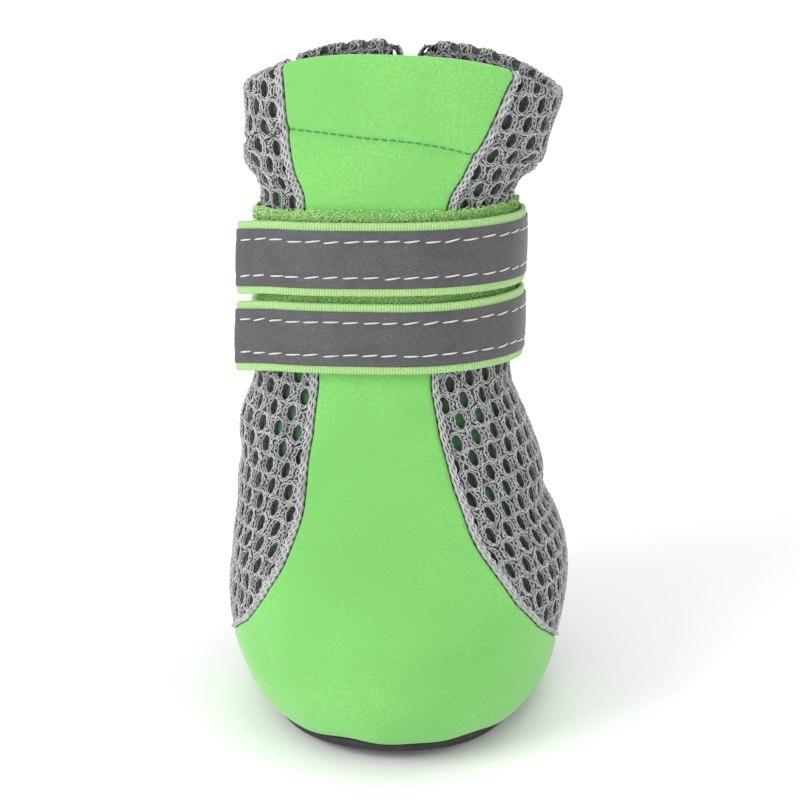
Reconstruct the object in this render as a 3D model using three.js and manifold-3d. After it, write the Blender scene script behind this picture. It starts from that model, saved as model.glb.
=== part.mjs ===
// A dog boot: a soft hollow upper on a rubber sole, closed round the ankle by two
// hook and loop straps. Millimetres, +Z up. The toe points along -Y, the heel along +Y.
import * as THREE from "three";
import Module from "manifold-3d";
import { mergeVertices } from "three/addons/utils/BufferGeometryUtils.js";

const wasm = await Module();
wasm.setup();

// Driving dimensions.
const FOOT_LENGTH = 75.5; // heel to toe over the upper
const BALL_WIDTH = 67.6; // the upper at its widest
const ANKLE_HEIGHT = 63; // floor to the middle of the ankle's narrowest section
const SHAFT_LENGTH = 59; // ankle to the rim at its sides, along the shaft
const SHAFT_DEPTH = 35; // front to back, under the straps
const SHAFT_LEAN = THREE.MathUtils.degToRad(12); // back from upright
const STRAP_TILT = THREE.MathUtils.degToRad(21); // the straps run down towards the heel
const STRAP_ROLL = THREE.MathUtils.degToRad(2); // and up a little towards +X
const RIM_TILT = THREE.MathUtils.degToRad(17);
const RIM_HUMP_FRONT = 8.4; // the rim's tongue-like hump over the shin
const RIM_HUMP_BACK = 6.6;
const WALL = 2; // foam fabric or spacer mesh
const GAP = 0.3; // between pieces that touch

const SOLE_THICKNESS = 2.0;
const SOLE_MARGIN = -0.5; // the sole's edge from the upper's lower edge; it sits just inside it
const TREAD_DEPTH = 1.0;
const TOE_SPRING = 2.5;
const TOE_BREAK = 22; // the sole is flat back from this far in front of the middle
const HEEL_LIFT = 1.2;
const HEEL_BREAK = 28;
const INSOLE_THICKNESS = 2;

const LOOP_THICKNESS = 1.3;
const STRAP_THICKNESS = 1.6;
const SLIT_TOP_WIDTH = 6;
const SLIT_FOOT_WIDTH = 1.6;
const SLIT_DEPTH = 18;

const SEGMENTS = 44; // round every ring
const RINGS = 24; // up the upper

// Sections of the foot, from the sole's edge up to the ankle. up is a share of the ankle
// height; widest, front and back are places along Y in shares of the foot's length; width is
// a share of the ball width; side is the section's shift along X; tilt is a share of the
// strap tilt; square is the exponent of the section's rounded outline.
const FOOT_SECTIONS = [
  { up: 0.053, widest: 0.0, front: -0.455, back: 0.45, width: 0.8, side: 0.2, tilt: 0, square: 2.0 },
  { up: 0.12, widest: 0.0, front: -0.485, back: 0.485, width: 0.9, side: 0.2, tilt: 0, square: 2.04 },
  { up: 0.25, widest: 0.0, front: -0.505, back: 0.495, width: 0.97, side: -0.2, tilt: 0, square: 2.1 },
  { up: 0.37, widest: 0.01, front: -0.492, back: 0.49, width: 1.0, side: 0, tilt: 0.08, square: 2.15 },
  { up: 0.465, widest: 0.03, front: -0.448, back: 0.478, width: 0.99, side: 0, tilt: 0.2, square: 2.2 },
  { up: 0.54, widest: 0.06, front: -0.372, back: 0.462, width: 0.962, side: -0.6, tilt: 0.36, square: 2.2 },
  { up: 0.615, widest: 0.095, front: -0.27, back: 0.445, width: 0.925, side: -1.5, tilt: 0.54, square: 2.2 },
  { up: 0.71, widest: 0.13, front: -0.17, back: 0.428, width: 0.9, side: -2.7, tilt: 0.74, square: 2.35 },
  { up: 0.845, widest: 0.155, front: -0.098, back: 0.413, width: 0.85, side: -3.8, tilt: 0.9, square: 2.55 },
];

// Sections of the shaft. along is a share of the shaft's length; width is a share of the
// ball width and depth of the shaft's depth; flare runs the tilt from the straps' to the rim's.
const SHAFT_SECTIONS = [
  { along: 0.0, width: 0.75, depth: 1.0, flare: 0 },
  { along: 0.15, width: 0.745, depth: 1.0, flare: 0 },
  { along: 0.32, width: 0.745, depth: 1.0, flare: 0 },
  { along: 0.48, width: 0.745, depth: 1.0, flare: 0 },
  { along: 0.65, width: 0.735, depth: 0.99, flare: 0.1 },
  { along: 0.73, width: 0.835, depth: 1.02, flare: 0.3 },
  { along: 0.84, width: 0.9, depth: 1.05, flare: 0.65 },
  { along: 1.0, width: 0.925, depth: 1.07, flare: 1 },
];
const ANKLE = { y: 0.172 * FOOT_LENGTH, side: -4.4 };
const RIM_SIDE = -1.2;
const SHAFT_SQUARE = 2.7; // flat in front, round at the corners

// Bands round the shaft: from and to are distances along the shaft, start and end are angles
// round it in degrees (0 at +X, 90 at the heel), standoff is how far its inner face stands off
// the upper, spring how much further its free end, at the start, stands away, and rise how far
// it climbs from the front to the +X side, between the two climb angles.
const LOOP_STANDOFF = GAP;
const STRAP_STANDOFF = GAP + LOOP_THICKNESS + GAP;
const SPRING_ANGLE = 32;
const CLIMB = { start: -90, end: -5 };
const LOOP_BAND = { start: -252, end: 80, standoff: LOOP_STANDOFF, spring: 0 };
const STRAP = { start: -160, end: 68, standoff: STRAP_STANDOFF, spring: 1.7 };
const BANDS = [
  { name: "lower_loop_band", from: 3.3, to: 18.7, rise: 1.2, ...LOOP_BAND },
  { name: "lower_strap", from: 2.5, to: 17.0, rise: 2.2, ...STRAP },
  { name: "upper_loop_band", from: 19.1, to: 35.6, rise: 1.2, ...LOOP_BAND },
  { name: "upper_strap", from: 18.7, to: 33.8, rise: 1.2, ...STRAP },
];

// Tread bars across the sole, as places along Y.
const TREAD_BARS = [
  { front: -24, back: -17.5 },
  { front: -15, back: -8.5 },
  { front: -6, back: 0.5 },
  { front: 12, back: 18.5 },
  { front: 21, back: 27.5 },
];
const TREAD_INSET = 3.5;

function footSection(row) {
  const y = row.widest * FOOT_LENGTH;
  return {
    x: row.side,
    y,
    z: row.up * ANKLE_HEIGHT,
    halfWidth: (row.width * BALL_WIDTH) / 2,
    front: y - row.front * FOOT_LENGTH,
    back: row.back * FOOT_LENGTH - y,
    tilt: row.tilt * STRAP_TILT,
    roll: row.tilt * STRAP_ROLL,
    square: row.square,
  };
}

function shaftSection(row) {
  const distance = row.along * SHAFT_LENGTH;
  const halfDepth = (row.depth * SHAFT_DEPTH) / 2;
  return {
    x: THREE.MathUtils.lerp(ANKLE.side, RIM_SIDE, row.flare),
    y: ANKLE.y + distance * Math.sin(SHAFT_LEAN),
    z: ANKLE_HEIGHT + distance * Math.cos(SHAFT_LEAN),
    halfWidth: (row.width * BALL_WIDTH) / 2,
    front: halfDepth,
    back: halfDepth,
    tilt: THREE.MathUtils.lerp(STRAP_TILT, RIM_TILT, row.flare),
    roll: STRAP_ROLL * (1 - row.flare),
    square: SHAFT_SQUARE,
  };
}

const SECTIONS = [...FOOT_SECTIONS.map(footSection), ...SHAFT_SECTIONS.map(shaftSection)];
const LAST = SECTIONS.length - 1;

// The section at a place between two rows, on a smooth curve through all of them.
function sectionAt(place) {
  const row = Math.min(Math.floor(place), LAST - 1);
  const t = place - row;
  const near = [-1, 0, 1, 2].map((step) => SECTIONS[THREE.MathUtils.clamp(row + step, 0, LAST)]);
  const section = {};
  for (const column of Object.keys(SECTIONS[0])) {
    const [a, b, c, d] = near.map((entry) => entry[column]);
    const rise = -a + c;
    const bend = 2 * a - 5 * b + 4 * c - d;
    const twist = -a + 3 * b - 3 * c + d;
    section[column] = 0.5 * (2 * b + rise * t + bend * t * t + twist * t * t * t);
  }
  return section;
}

function signedPower(value, exponent) {
  return Math.sign(value) * Math.abs(value) ** exponent;
}

// A point of a section's outline, grown outwards by some millimetres.
function ringPoint(section, angle, grow = 0) {
  const depth = Math.sin(angle) < 0 ? section.front : section.back;
  const x = signedPower(Math.cos(angle), 2 / section.square) * (section.halfWidth + grow);
  const y = signedPower(Math.sin(angle), 2 / section.square) * (depth + grow);
  const z = x * Math.tan(section.roll) - y * Math.tan(section.tilt);
  return new THREE.Vector3(section.x + x, section.y + y, section.z + z);
}

function smoothBetween(value, low, high) {
  return THREE.MathUtils.smoothstep(value, low, high);
}

// How far the sole's underside lies above its flat part: the toe spring and the heel's bevel.
function soleRise(y) {
  const toe = THREE.MathUtils.clamp((-TOE_BREAK - y) / (FOOT_LENGTH / 2 - TOE_BREAK), 0, 1.1);
  const heel = THREE.MathUtils.clamp((y - HEEL_BREAK) / (FOOT_LENGTH / 2 - HEEL_BREAK), 0, 1.1);
  return TOE_SPRING * toe * toe + HEEL_LIFT * heel * heel;
}

// The rim's height above a plane, round the collar.
function rimHump(angle) {
  const front = Math.max(0, -Math.sin(angle));
  const back = Math.max(0, Math.sin(angle));
  return RIM_HUMP_FRONT * front ** 1.5 + RIM_HUMP_BACK * back ** 2.5;
}

// The upper's outer surface.
function upperPoint(place, angle) {
  const point = ringPoint(sectionAt(place), angle);
  point.z += soleRise(point.y) * (1 - smoothBetween(place, 0, 4));
  const hump = rimHump(angle) * smoothBetween(place, LAST - 3, LAST);
  point.y += hump * Math.sin(SHAFT_LEAN);
  point.z += hump * Math.cos(SHAFT_LEAN);
  return point;
}

// The upper's inner surface, one wall inside the outer one, level with it at both edges.
function liningPoint(place, angle) {
  const step = 0.02;
  const low = Math.max(place - step, 0);
  const high = Math.min(place + step, LAST);
  const around = upperPoint(place, angle + step).sub(upperPoint(place, angle - step));
  const upwards = upperPoint(high, angle).sub(upperPoint(low, angle));
  const normal = around.cross(upwards).normalize();
  normal.z *= smoothBetween(place, 0, 1) * (1 - smoothBetween(place, LAST - 1, LAST));
  return upperPoint(place, angle).addScaledVector(normal.normalize(), -WALL);
}

// A body through loops of equal count: joined in a ring, or closed at both ends by fans.
function loopBody(loops, joined) {
  const count = loops[0].length;
  const points = loops.flat();
  const index = [];
  for (let i = 0; i < (joined ? loops.length : loops.length - 1); i++) {
    const here = i * count;
    const next = ((i + 1) % loops.length) * count;
    for (let j = 0; j < count; j++) {
      const k = (j + 1) % count;
      index.push(here + j, here + k, next + k, here + j, next + k, next + j);
    }
  }
  if (!joined) {
    const last = (loops.length - 1) * count;
    const middle = (loop) => loop.reduce((sum, p) => sum.add(p), new THREE.Vector3()).divideScalar(count);
    points.push(middle(loops[0]), middle(loops.at(-1)));
    for (let j = 0; j < count; j++) {
      const k = (j + 1) % count;
      index.push(points.length - 2, k, j, points.length - 1, last + j, last + k);
    }
  }
  const geometry = new THREE.BufferGeometry().setFromPoints(points);
  geometry.setIndex(index);
  return geometry;
}

function toManifold(source) {
  const geometry = source.clone();
  geometry.deleteAttribute("normal");
  geometry.deleteAttribute("uv");
  const merged = mergeVertices(geometry, 1e-3);
  const solid = new wasm.Mesh({
    numProp: 3,
    vertProperties: merged.attributes.position.array,
    triVerts: new Uint32Array(merged.index.array),
  });
  return new wasm.Manifold(solid);
}

function fromManifold(solid) {
  const mesh = solid.getMesh();
  const geometry = new THREE.BufferGeometry();
  geometry.setAttribute("position", new THREE.BufferAttribute(mesh.vertProperties, 3));
  geometry.setIndex(new THREE.BufferAttribute(mesh.triVerts, 1));
  return geometry;
}

function ringOf(pointAt) {
  return Array.from({ length: SEGMENTS }, (_, j) => pointAt((2 * Math.PI * j) / SEGMENTS));
}

// The slit down the back of the collar, as a wedge through the rear wall.
function slitWedge() {
  const rim = upperPoint(LAST, Math.PI / 2);
  const outline = new THREE.Shape();
  outline.moveTo(-SLIT_FOOT_WIDTH / 2, -SLIT_DEPTH);
  outline.lineTo(SLIT_FOOT_WIDTH / 2, -SLIT_DEPTH);
  outline.lineTo(SLIT_TOP_WIDTH / 2, 3);
  outline.lineTo(-SLIT_TOP_WIDTH / 2, 3);
  const wedge = new THREE.ExtrudeGeometry(outline, { depth: SHAFT_DEPTH, bevelEnabled: false });
  wedge.rotateX(Math.PI / 2);
  wedge.translate(RIM_SIDE, rim.y + SHAFT_DEPTH / 2, rim.z);
  return wedge;
}

function upperGeometry() {
  const places = Array.from({ length: RINGS + 1 }, (_, i) => (i * LAST) / RINGS);
  const outer = places.map((place) => ringOf((angle) => upperPoint(place, angle)));
  const inner = places.map((place) => ringOf((angle) => liningPoint(place, angle)));
  const shell = loopBody([...outer, ...inner.reverse()], true);
  return fromManifold(toManifold(shell).subtract(toManifold(slitWedge())));
}

// A flat loop of the sole's outline at a height above its underside.
function soleLoop(grow, share, height) {
  return ringOf((angle) => {
    const edge = ringPoint(sectionAt(0), angle, grow);
    const x = edge.x * share;
    const y = edge.y * share;
    return new THREE.Vector3(x, y, TREAD_DEPTH + height + soleRise(y));
  });
}

const DISC_SHARES = [0.2, 0.45, 0.7, 0.88];

function discBody(grow, bottom, top, bevel) {
  const underside = DISC_SHARES.map((share) => soleLoop(grow, share, bottom));
  const topside = DISC_SHARES.map((share) => soleLoop(grow, share, top)).reverse();
  const edge = [
    soleLoop(grow - bevel, 1, bottom),
    soleLoop(grow, 1, bottom + bevel),
    soleLoop(grow, 1, top),
  ];
  return loopBody([...underside, ...edge, ...topside], false);
}

// A bar of tread from side to side, its ends following the sole's outline.
function treadBar({ front, back }) {
  const section = sectionAt(0);
  const sideAt = (y) => {
    const depth = y < 0 ? section.front : section.back;
    const share = 1 - Math.abs(y / depth) ** section.square;
    return section.halfWidth * share ** (1 / section.square) - TREAD_INSET;
  };
  const middle = (front + back) / 2;
  const steps = [front, middle, back];
  const right = steps.map((y) => new THREE.Vector2(section.x + sideAt(y), y));
  const left = steps.map((y) => new THREE.Vector2(section.x - sideAt(y), y)).reverse();
  const shape = new THREE.Shape([...right, ...left]);
  return new THREE.ExtrudeGeometry(shape, { depth: TREAD_DEPTH + 1, bevelEnabled: false });
}

function outsoleGeometry() {
  const plate = discBody(SOLE_MARGIN, 0, SOLE_THICKNESS, 0.8);
  const solid = TREAD_BARS.reduce(
    (body, bar) => body.add(toManifold(treadBar(bar))),
    toManifold(plate),
  );
  return fromManifold(solid);
}

function insoleGeometry() {
  const bottom = SOLE_THICKNESS + GAP;
  return discBody(-WALL - GAP, bottom, bottom + INSOLE_THICKNESS, 0.4);
}

// A tape round the shaft, straight across its width.
function bandGeometry({ from, to, start, end, standoff, spring, rise }, thickness) {
  const sectionAt = (distance) => shaftSection({ ...SHAFT_SECTIONS[1], along: distance / SHAFT_LENGTH });
  const steps = Math.round((end - start) / 8);
  const loops = [];
  for (let i = 0; i <= steps; i++) {
    const degrees = start + ((end - start) * i) / steps;
    const angle = THREE.MathUtils.degToRad(degrees);
    const free = Math.max(0, 1 - (degrees - start) / SPRING_ANGLE);
    const inner = standoff + spring * free * free;
    const climb = rise * THREE.MathUtils.smoothstep(degrees, CLIMB.start, CLIMB.end);
    const low = sectionAt(from + climb);
    const high = sectionAt(to + climb);
    loops.push([
      ringPoint(low, angle, inner),
      ringPoint(high, angle, inner),
      ringPoint(high, angle, inner + thickness),
      ringPoint(low, angle, inner + thickness),
    ]);
  }
  return loopBody(loops, false);
}

const rubber = () => new THREE.MeshStandardMaterial({ color: 0x2b2a28, roughness: 0.85, metalness: 0 });
const foamFabric = () => new THREE.MeshStandardMaterial({ color: 0x86e070, roughness: 0.9, metalness: 0 });
const lining = () => new THREE.MeshStandardMaterial({ color: 0x9a9d9b, roughness: 0.95, metalness: 0 });
const pile = () => new THREE.MeshStandardMaterial({ color: 0x82b463, roughness: 1, metalness: 0 });
const tape = () => new THREE.MeshStandardMaterial({ color: 0x666668, roughness: 0.6, metalness: 0 });

function addPiece(group, name, geometry, material) {
  geometry.computeVertexNormals();
  const mesh = new THREE.Mesh(geometry, material);
  mesh.name = name;
  group.add(mesh);
}

const boot = new THREE.Group();
addPiece(boot, "outsole", outsoleGeometry(), rubber());
addPiece(boot, "insole", insoleGeometry(), lining());
addPiece(boot, "upper", upperGeometry(), foamFabric());
for (const band of BANDS) {
  const isLoop = band.name.endsWith("loop_band");
  const thickness = isLoop ? LOOP_THICKNESS : STRAP_THICKNESS;
  addPiece(boot, band.name, bandGeometry(band, thickness), isLoop ? pile() : tape());
}

// The origin is under the middle of the boot's box, on the floor.
const box = new THREE.Box3().setFromObject(boot);
const middle = box.getCenter(new THREE.Vector3());
boot.position.set(-middle.x, -middle.y, -box.min.z);

export default boot;
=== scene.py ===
# A dog boot: front panel of foam fabric, sides of spacer mesh, two reflective straps and a
# knurled rubber sole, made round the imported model. Lengths are in millimetres, and the sections'
# tables are in shares of the boot's main sizes. A place is a row of those tables, from the sole up.
import math

import bpy
import numpy as np
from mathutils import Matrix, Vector


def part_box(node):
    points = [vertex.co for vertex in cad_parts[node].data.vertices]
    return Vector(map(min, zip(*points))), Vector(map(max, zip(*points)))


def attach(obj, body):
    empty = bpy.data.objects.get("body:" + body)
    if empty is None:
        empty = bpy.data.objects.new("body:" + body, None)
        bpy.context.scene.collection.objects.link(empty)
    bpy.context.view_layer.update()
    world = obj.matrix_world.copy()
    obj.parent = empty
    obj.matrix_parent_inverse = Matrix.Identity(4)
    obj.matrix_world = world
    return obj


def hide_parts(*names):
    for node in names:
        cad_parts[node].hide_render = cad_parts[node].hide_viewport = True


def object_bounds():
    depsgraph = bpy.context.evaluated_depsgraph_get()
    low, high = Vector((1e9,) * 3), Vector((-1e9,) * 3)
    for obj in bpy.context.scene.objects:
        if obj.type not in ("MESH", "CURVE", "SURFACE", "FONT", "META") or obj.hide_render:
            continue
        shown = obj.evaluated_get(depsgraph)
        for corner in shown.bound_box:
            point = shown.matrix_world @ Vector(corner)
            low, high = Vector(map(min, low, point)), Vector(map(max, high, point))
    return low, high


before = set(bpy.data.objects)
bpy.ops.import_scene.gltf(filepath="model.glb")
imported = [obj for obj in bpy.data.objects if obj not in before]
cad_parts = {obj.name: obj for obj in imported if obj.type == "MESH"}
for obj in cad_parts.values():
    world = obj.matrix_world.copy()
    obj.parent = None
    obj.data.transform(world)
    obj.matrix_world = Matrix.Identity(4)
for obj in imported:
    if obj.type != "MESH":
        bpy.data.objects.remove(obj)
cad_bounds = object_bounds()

MM = 0.001
RNG = np.random.default_rng(7)

# ---- the boot's own form
FOOT_LENGTH = 75.5
BALL_WIDTH = 67.6
ANKLE_HEIGHT = 63.0
SHAFT_LENGTH = 59.0
SHAFT_DEPTH = 35.0
SHAFT_LEAN = math.radians(12)
STRAP_TILT = math.radians(21)
STRAP_ROLL = math.radians(2)
RIM_TILT = math.radians(17)
RIM_HUMP_FRONT = 8.4
RIM_HUMP_BACK = 6.6
ANKLE_Y = 0.172 * FOOT_LENGTH
ANKLE_SIDE = -4.4
RIM_SIDE = -1.2
SHAFT_SQUARE = 2.7
SOLE_THICKNESS = 2.0
SOLE_MARGIN = -0.5
TREAD_DEPTH = 1.0
TOE_SPRING = 2.5
TOE_BREAK = 22.0
HEEL_LIFT = 1.2
HEEL_BREAK = 28.0
LOOP_STANDOFF = 0.3
STRAP_STANDOFF = 1.9

# up, widest, front, back, width, side, tilt, square
FOOT_SECTIONS = (
    (0.053, 0.0, -0.455, 0.45, 0.8, 0.2, 0, 2.0),
    (0.12, 0.0, -0.485, 0.485, 0.9, 0.2, 0, 2.04),
    (0.25, 0.0, -0.505, 0.495, 0.97, -0.2, 0, 2.1),
    (0.37, 0.01, -0.492, 0.49, 1.0, 0, 0.08, 2.15),
    (0.465, 0.03, -0.448, 0.478, 0.99, 0, 0.2, 2.2),
    (0.54, 0.06, -0.372, 0.462, 0.962, -0.6, 0.36, 2.2),
    (0.615, 0.095, -0.27, 0.445, 0.925, -1.5, 0.54, 2.2),
    (0.71, 0.13, -0.17, 0.428, 0.9, -2.7, 0.74, 2.35),
    (0.845, 0.155, -0.098, 0.413, 0.85, -3.8, 0.9, 2.55),
)
# along, width, depth, flare
SHAFT_SECTIONS = (
    (0.0, 0.75, 1.0, 0.0),
    (0.15, 0.745, 1.0, 0.0),
    (0.32, 0.745, 1.0, 0.0),
    (0.48, 0.745, 1.0, 0.0),
    (0.65, 0.735, 0.99, 0.1),
    (0.73, 0.835, 1.02, 0.3),
    (0.84, 0.9, 1.05, 0.65),
    (1.0, 0.925, 1.07, 1.0),
)
X, Y, Z, HALF, FRONT, BACK, TILT, ROLL, SQUARE = range(9)


def foot_section(up, widest, front, back, width, side, tilt, square):
    y = widest * FOOT_LENGTH
    half = width * BALL_WIDTH / 2
    before = y - front * FOOT_LENGTH
    behind = back * FOOT_LENGTH - y
    return (side, y, up * ANKLE_HEIGHT, half, before, behind, tilt * STRAP_TILT, tilt * STRAP_ROLL, square)


def shaft_section(along, width, depth, flare):
    distance = along * SHAFT_LENGTH
    x = ANKLE_SIDE + (RIM_SIDE - ANKLE_SIDE) * flare
    y = ANKLE_Y + distance * math.sin(SHAFT_LEAN)
    z = ANKLE_HEIGHT + distance * math.cos(SHAFT_LEAN)
    half_depth = depth * SHAFT_DEPTH / 2
    tilt = STRAP_TILT + (RIM_TILT - STRAP_TILT) * flare
    half = width * BALL_WIDTH / 2
    return (x, y, z, half, half_depth, half_depth, tilt, STRAP_ROLL * (1 - flare), SHAFT_SQUARE)


SECTIONS = np.array(
    [foot_section(*row) for row in FOOT_SECTIONS] + [shaft_section(*row) for row in SHAFT_SECTIONS]
)
LAST = len(SECTIONS) - 1
TOWARDS_SHIN = -math.pi / 2
SMALL_STEP = 0.02  # in places or radians, for slopes


def smooth(value, low, high):
    t = np.clip((value - low) / (high - low), 0, 1)
    return t * t * (3 - 2 * t)


def section_at(place):
    """The sections at places between the rows, on a smooth curve through all of them."""
    place = np.asarray(place, float)
    row = np.minimum(np.floor(place).astype(int), LAST - 1)
    t = (place - row)[..., None]
    a, b, c, d = (SECTIONS[np.clip(row + step, 0, LAST)] for step in (-1, 0, 1, 2))
    bend = 2 * a - 5 * b + 4 * c - d
    twist = -a + 3 * b - 3 * c + d
    return 0.5 * (2 * b + (c - a) * t + bend * t**2 + twist * t**3)


def ring_point(section, angle, grow=0.0):
    cosine, sine = np.cos(angle), np.sin(angle)
    power = 2 / section[..., SQUARE]
    depth = np.where(sine < 0, section[..., FRONT], section[..., BACK])
    x = np.sign(cosine) * np.abs(cosine) ** power * (section[..., HALF] + grow)
    y = np.sign(sine) * np.abs(sine) ** power * (depth + grow)
    z = x * np.tan(section[..., ROLL]) - y * np.tan(section[..., TILT])
    return np.stack([section[..., X] + x, section[..., Y] + y, section[..., Z] + z], -1)


def sole_rise(y):
    rise = 0
    for at, start, lift in ((-y, TOE_BREAK, TOE_SPRING), (y, HEEL_BREAK, HEEL_LIFT)):
        rise = rise + lift * np.clip((at - start) / (FOOT_LENGTH / 2 - start), 0, 1.1) ** 2
    return rise


def form_point(place, angle):
    """A point of the upper's plain outer surface, in the part's millimetres."""
    place, angle = np.broadcast_arrays(np.asarray(place, float), np.asarray(angle, float))
    point = ring_point(section_at(place), angle)
    front = np.maximum(0, -np.sin(angle))
    back = np.maximum(0, np.sin(angle))
    hump = (RIM_HUMP_FRONT * front**1.5 + RIM_HUMP_BACK * back**2.5) * smooth(place, LAST - 3, LAST)
    point[..., 1] += hump * math.sin(SHAFT_LEAN)
    point[..., 2] += sole_rise(point[..., 1]) * (1 - smooth(place, 0, 4)) + hump * math.cos(SHAFT_LEAN)
    return point


def lengths(vectors):
    return np.linalg.norm(vectors, axis=-1)


def unit(vectors):
    return vectors / lengths(vectors)[..., None]


def way_up(place, angle):
    high = form_point(np.minimum(place + SMALL_STEP, LAST), angle)
    return high - form_point(np.maximum(place - SMALL_STEP, 0), angle)


def form_normal(place, angle):
    around = form_point(place, angle + SMALL_STEP) - form_point(place, angle - SMALL_STEP)
    return unit(np.cross(around, way_up(place, angle)))


def frame_shift():
    """From the part's own millimetres to the row's frame."""
    places, angles = np.meshgrid(np.linspace(0, LAST, 200), np.linspace(-math.pi, math.pi, 361))
    points = form_point(places, angles).reshape(-1, 3)
    low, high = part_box("upper")
    middle = np.array([(low[k] + high[k]) / 2 / MM for k in (0, 1)])
    mine = (points.min(0) + points.max(0))[:2] / 2
    return np.array([*(middle - mine), 0.0])


SHIFT = frame_shift()

# ---- seams and creases
# Half the front panel's width and its turn, as degrees round the section, at each place.
PANEL_HALF = (104, 98, 78, 59, 47, 38.5, 31.5, 25, 20.5, 19.5, 21, 23.5, 26.5, 29, 31, 35, 41)
PANEL_TURN = (2, 2, 2, 2, 1, 1, 0, 0, 0, 0, 0, -1, -2, -2, -2, -1, 0)
HEM_DEPTH = 11.0
PINCH_DEPTH = 0.7

# Soft troughs of the fabric: place, turn from the front in degrees, rise of the trough per
# degree, half width in places, half length in degrees, depth.
CREASES = (
    (6.6, -24, 0.035, 0.42, 20, 0.9),
    (5.6, 34, -0.03, 0.4, 16, 0.6),
    (7.9, 8, 0.01, 0.45, 22, 0.5),
    (3.6, -62, -0.015, 0.5, 16, 0.6),
    (2.2, 20, 0.012, 0.55, 26, 0.5),
    (5.0, -8, 0.008, 1.15, 24, 1.5),
    (14.4, 20, -0.02, 0.4, 22, 0.6),
    (13.9, -70, 0.02, 0.35, 22, 0.9),
    (13.9, 78, -0.02, 0.35, 24, 0.9),
    (15.1, -95, 0.01, 0.4, 20, 0.7),
    (15.0, 105, -0.012, 0.4, 22, 0.8),
    (6.2, 90, 0.01, 0.5, 26, 0.9),
    (7.4, -88, -0.012, 0.5, 24, 0.9),
    (5.0, 150, 0.012, 0.5, 26, 0.7),
    (4.4, -140, -0.012, 0.5, 26, 0.7),
)
SHOULDER = (0.55, 1.9)  # the swell beside a trough: its share of the depth, and its distance
GATHERS = 26  # round the boot, next to the straps
GATHER_DEPTH = 0.45
GATHERS_ABOVE = (13, 0.7)  # from this place up, fading over this much
GATHERS_BELOW = (9.6, 0.9)
LUMP_DEPTH = 0.3  # of the slack cloth above the sole
LUMP_FADE = 1.3


def whole_turn(steps):
    return np.linspace(0, 2 * math.pi, steps, endpoint=False)


def turn_from_front(angle):
    return np.degrees((angle - TOWARDS_SHIN + math.pi) % (2 * math.pi) - math.pi)


def creases(place, angle):
    """How far the soft fabric lies off its plain form."""
    turn = turn_from_front(angle)
    lift = np.zeros(np.broadcast(place, angle).shape)
    for at, middle, rise, width, length, depth in CREASES:
        across = (place - at - rise * (turn - middle)) / width
        along = (turn - middle) / length
        trough = np.exp(-(across**2)) - SHOULDER[0] * np.exp(-((across - SHOULDER[1]) ** 2))
        lift -= depth * trough * np.exp(-(along**2))
    near_straps = np.exp(-np.maximum(place - GATHERS_ABOVE[0], 0) / GATHERS_ABOVE[1]) * (place > 12)
    near_straps += np.exp(-np.maximum(GATHERS_BELOW[0] - place, 0) / GATHERS_BELOW[1]) * (place < 11)
    radians = np.radians(turn)
    wave = np.sin(radians * GATHERS + 1.2 * np.sin(radians * 5))
    sides = smooth(np.abs(turn), 22, 50)
    lumps = np.sin(radians * 7 + 0.6) + 0.6 * np.sin(radians * 13 + 2)
    return lift + GATHER_DEPTH * wave * near_straps * sides + LUMP_DEPTH * lumps * np.exp(-place / LUMP_FADE)


def panel_edges(place):
    rows = np.arange(LAST + 1)
    half = np.radians(np.interp(place, rows, PANEL_HALF))
    turn = np.radians(np.interp(place, rows, PANEL_TURN))
    return TOWARDS_SHIN + turn - half, TOWARDS_SHIN + turn + half


# ---- mesh helpers
def grid_faces(rows, columns, wrap=False, flip=False):
    across = np.arange(columns if wrap else columns - 1)
    row, column = np.meshgrid(np.arange(rows - 1) * columns, across, indexing="ij")
    right = (column + 1) % columns
    quads = [row + column, row + right, row + columns + right, row + columns + column]
    faces = np.stack(quads, -1).reshape(-1, 4)
    return faces[:, ::-1] if flip else faces


def capped_faces(rows, columns):
    """The faces of a closed tube of rows, and of its two flat ends."""
    last = (rows - 1) * columns
    ends = [tuple(range(columns))[::-1], tuple(range(last, last + columns))]
    return [*grid_faces(rows, columns, wrap=True), *ends]


def copied_faces(one, count, size):
    """The faces of count grids, one after the other, each with size points."""
    return (one[None] + (np.arange(count) * size)[:, None, None]).reshape(-1, 4)


def new_object(name, data):
    item = bpy.data.objects.new(name, data)
    bpy.context.scene.collection.objects.link(item)
    return item


def make_piece(name, parts, material, replaced=(), smooth_ends=True):
    """One object from (points in millimetres, faces) parts, riding on the boot."""
    points = np.concatenate([part[0].reshape(-1, 3) for part in parts]) * MM
    faces = []
    start = 0
    for part_points, part_faces in parts:
        faces += [tuple(int(corner) + start for corner in face) for face in part_faces]
        start += part_points.size // 3
    mesh = bpy.data.meshes.new(name)
    mesh.from_pydata(points.tolist(), [], faces)
    mesh.polygons.foreach_set("use_smooth", [smooth_ends or len(p.vertices) == 4 for p in mesh.polygons])
    mesh.materials.append(material)
    mesh.validate()
    piece = new_object(name, mesh)
    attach(piece, "root")
    if replaced:
        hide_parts(*replaced)
    return mesh


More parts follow.
